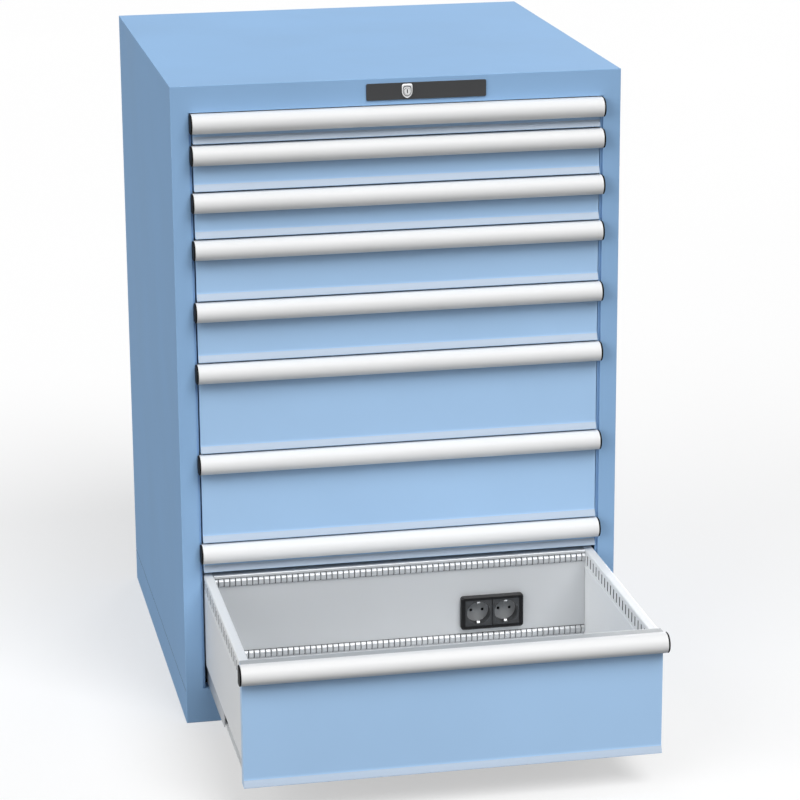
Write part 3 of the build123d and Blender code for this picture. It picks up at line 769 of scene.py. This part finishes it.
# Studio: a wide pale floor under a white surround, a soft key lamp from the front right and above, a
# weaker fill from the left, a low lamp behind, and the camera at the photograph's viewing angle. A
# lamp's three values are its direction, its strength and its spread in degrees.
floor_white = (0.98, 0.98, 0.98)
floor_bounce = (0.14, 0.14, 0.14)
floor_glow_share = 0.50
floor_half = 40.0
surround_light = 0.285
lamps = {"key_lamp": ((0.25, -0.58, 0.775), 1.99, 34),
         "fill_lamp": ((-0.78, -0.46, 0.42), 1.42, 50),
         "back_lamp": ((0.45, 0.87, 0.18), 0.80, 20)}
lamp_distance = 5.0
camera_place = np.array([-0.8883, -4.8414, 1.8584])
camera_yaw, camera_pitch, camera_roll = np.radians([11.209, 16.251, -0.354])
camera_lens = 133.29
camera_sensor = 36.0


def seen_directly(tree):
    """The socket that is 1 for rays from the camera, or off gloss and glass, and 0 for the light
    that the surround or the floor gives to the object."""
    rays = tree.nodes.new("ShaderNodeLightPath")
    gloss = tree.nodes.new("ShaderNodeMath")
    gloss.operation = "MAXIMUM"
    tree.links.new(rays.outputs["Is Glossy Ray"], gloss.inputs[0])
    tree.links.new(rays.outputs["Is Transmission Ray"], gloss.inputs[1])
    seen = tree.nodes.new("ShaderNodeMath")
    seen.operation = "MAXIMUM"
    tree.links.new(rays.outputs["Is Camera Ray"], seen.inputs[0])
    tree.links.new(gloss.outputs["Value"], seen.inputs[1])
    return seen.outputs["Value"]


def turn_to(back, up):
    """Rotation whose Z axis is the given back direction and whose Y axis lies nearest to up."""
    back = back / np.linalg.norm(back)
    right = np.cross(up, back)
    right /= np.linalg.norm(right)
    return np.stack([right, np.cross(back, right), back], axis=1)


def place_at(thing, place, rotation):
    """Puts a lamp or the camera at a place with a rotation matrix."""
    placed = np.eye(4)
    placed[:3, :3], placed[:3, 3] = rotation, place
    bpy.context.scene.collection.objects.link(thing)
    thing.matrix_world = placed.T


floor_lit = tuple(channel * (1 - floor_glow_share) for channel in floor_white)
floor_finish = mottled_finish("floor_pale", floor_lit, roughness=0.9, specular=0.0, shade=0.01,
                              cloud_scale=0.6, grain_depth=0.0)
floor_tree = floor_finish.node_tree
floor_shader = floor_tree.nodes["Principled BSDF"]
floor_glow = floor_tree.nodes.new("ShaderNodeMath")
floor_glow.operation = "MULTIPLY"
floor_glow.inputs[1].default_value = floor_glow_share
floor_tree.links.new(seen_directly(floor_tree), floor_glow.inputs[0])
floor_tree.links.new(floor_glow.outputs["Value"], floor_shader.inputs["Emission Strength"])
floor_shader.inputs["Emission Color"].default_value = (1.0, 1.0, 1.0, 1.0)
floor_tone = floor_tree.nodes.new("ShaderNodeMix")
floor_tone.data_type = "RGBA"
floor_tone.inputs["A"].default_value = (*floor_bounce, 1.0)
floor_tree.links.new(seen_directly(floor_tree), floor_tone.inputs["Factor"])
floor_tree.links.new(floor_tree.nodes["tint"].outputs["Color"], floor_tone.inputs["B"])
floor_tree.links.new(floor_tone.outputs["Result"], floor_shader.inputs["Base Color"])
floor_corners = floor_half * np.array([(-1, -1, 0), (1, -1, 0), (1, 1, 0), (-1, 1, 0)])
floor = lay_piece("studio_floor", floor_finish, [(floor_corners, np.array([[0, 1, 2, 3]]), [])])

world = bpy.data.worlds.new("white_surround")
world.use_nodes = True
bpy.context.scene.world = world
surround = world.node_tree.nodes["Background"]
surround.inputs["Color"].default_value = (1.0, 1.0, 1.0, 1.0)
level = world.node_tree.nodes.new("ShaderNodeMapRange")
level.inputs["To Min"].default_value = surround_light
level.inputs["To Max"].default_value = 1.0
world.node_tree.links.new(seen_directly(world.node_tree), level.inputs["Value"])
world.node_tree.links.new(level.outputs["Result"], surround.inputs["Strength"])

for name, (direction, strength, spread) in lamps.items():
    lamp = bpy.data.lights.new(name, "SUN")
    lamp.energy = strength
    lamp.angle = np.radians(spread)
    place_at(bpy.data.objects.new(name, lamp), lamp_distance * np.array(direction),
             turn_to(np.array(direction), np.array([0, 0, 1.0])))

forward = np.array([np.sin(camera_yaw) * np.cos(camera_pitch), np.cos(camera_yaw) * np.cos(camera_pitch),
                    -np.sin(camera_pitch)])
level_right = np.array([np.cos(camera_yaw), -np.sin(camera_yaw), 0])
level_up = np.cross(level_right, forward)
camera = bpy.data.cameras.new("photo_view")
camera.sensor_width = camera_sensor
camera.lens = camera_lens
view = bpy.data.objects.new("photo_view", camera)
place_at(view, camera_place,
         turn_to(-forward, level_up * np.cos(camera_roll) - level_right * np.sin(camera_roll)))
bpy.context.scene.camera = view
bpy.context.scene.view_settings.view_transform = "Standard"
